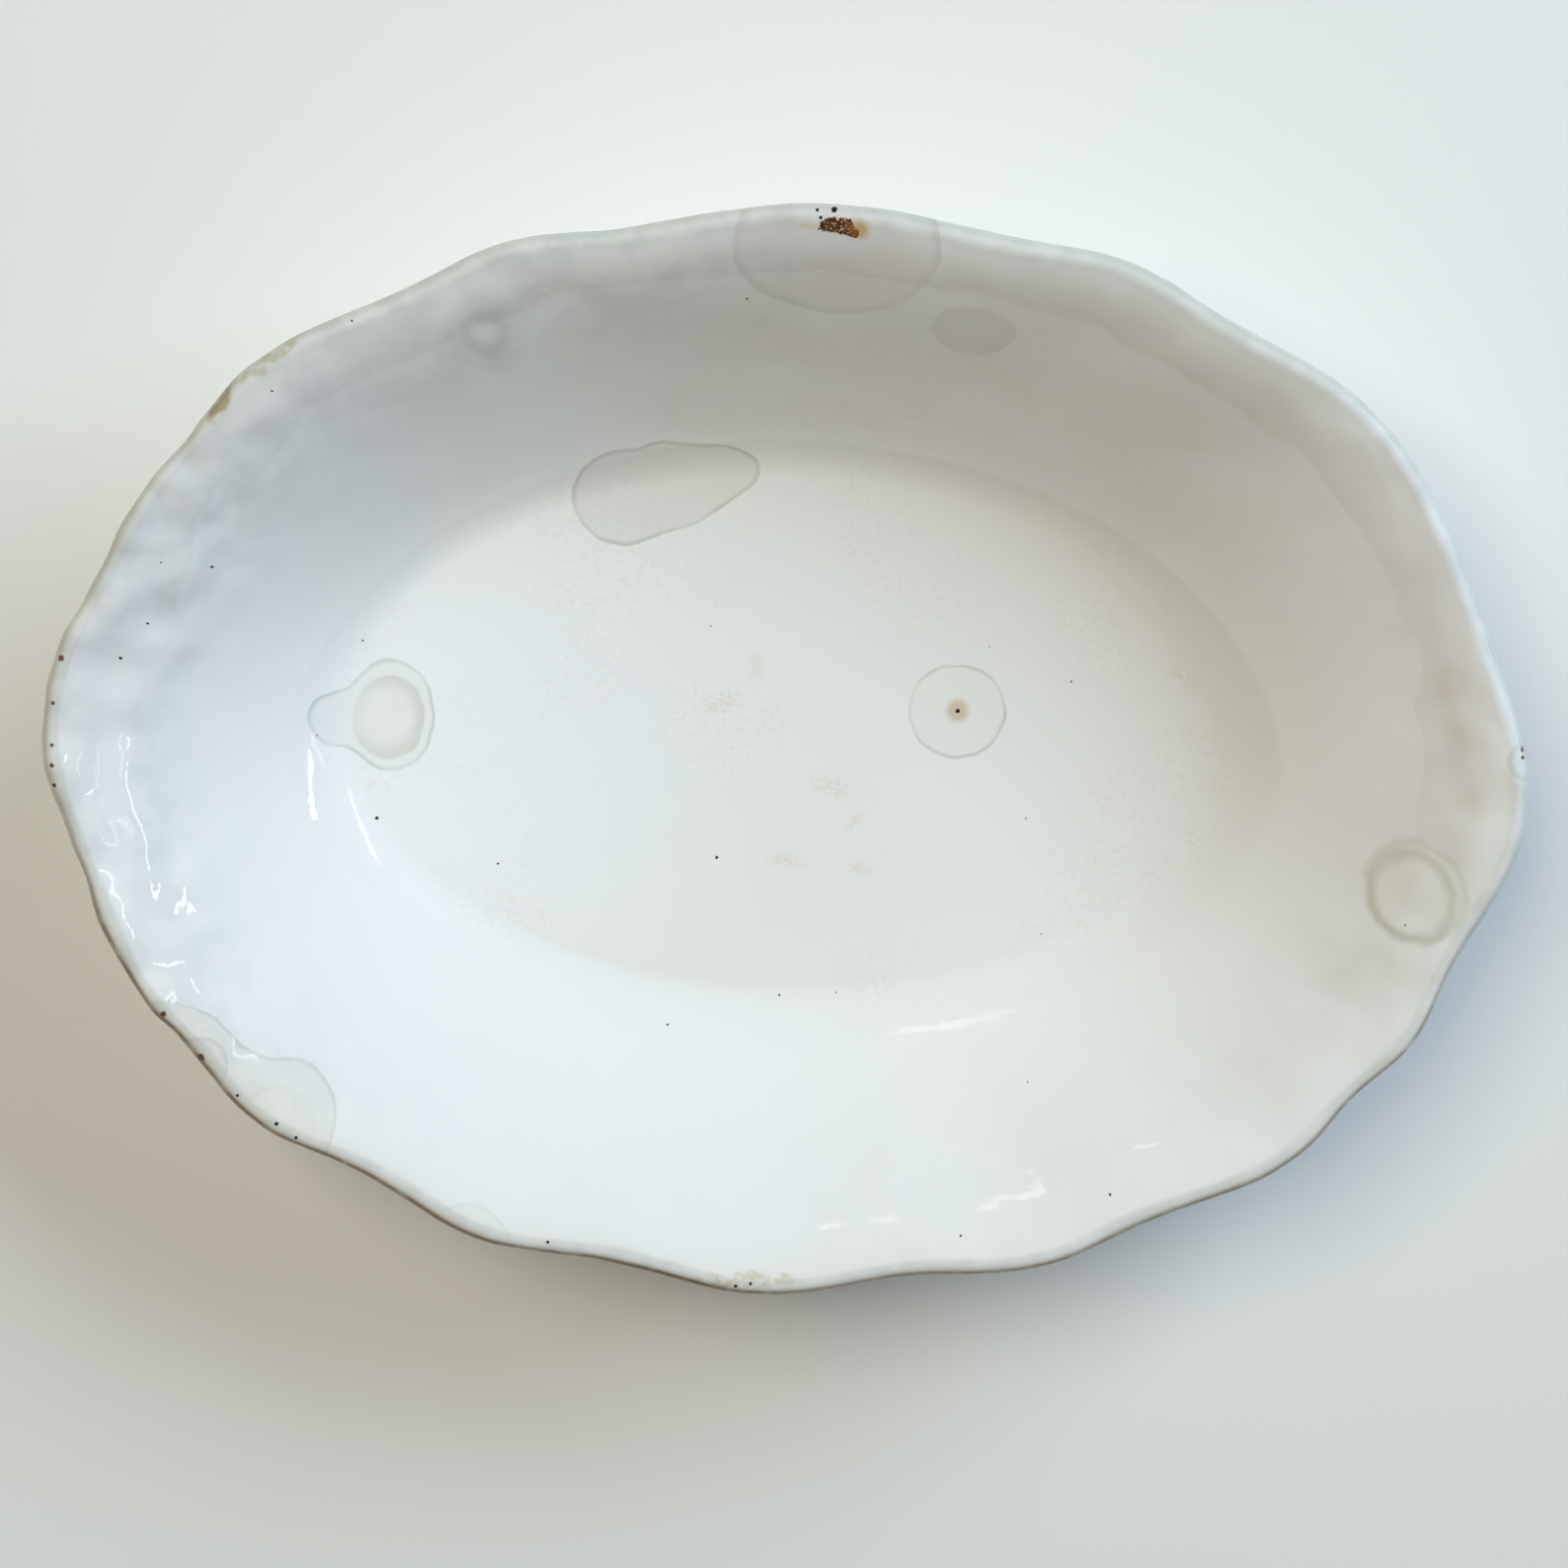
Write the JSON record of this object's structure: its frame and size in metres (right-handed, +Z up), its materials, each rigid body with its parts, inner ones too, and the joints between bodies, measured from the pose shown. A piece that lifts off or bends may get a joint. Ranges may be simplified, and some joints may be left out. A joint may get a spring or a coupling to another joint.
{
  "type": "oval serving dish",
  "caption": "Open oval serving dish with a scalloped rounded rim, sloping walls, a flat floor and an oval foot ring underneath.",
  "frame": {"origin": "middle of the rim's box in plan, on the flat that the foot ring stands on", "axes": "+X along the dish's length, +Y across it towards the side with the rust mark, +Z up out of the bowl"},
  "size_m": [0.254, 0.1882, 0.0517],
  "materials": {
    "white_glaze": "gloss white lead-type glaze over off-white ironstone, with water stains, specks, rust and rim wear"
  },
  "bodies": {
    "root": {"dish_body": "white_glaze"}
  },
  "joints": []
}
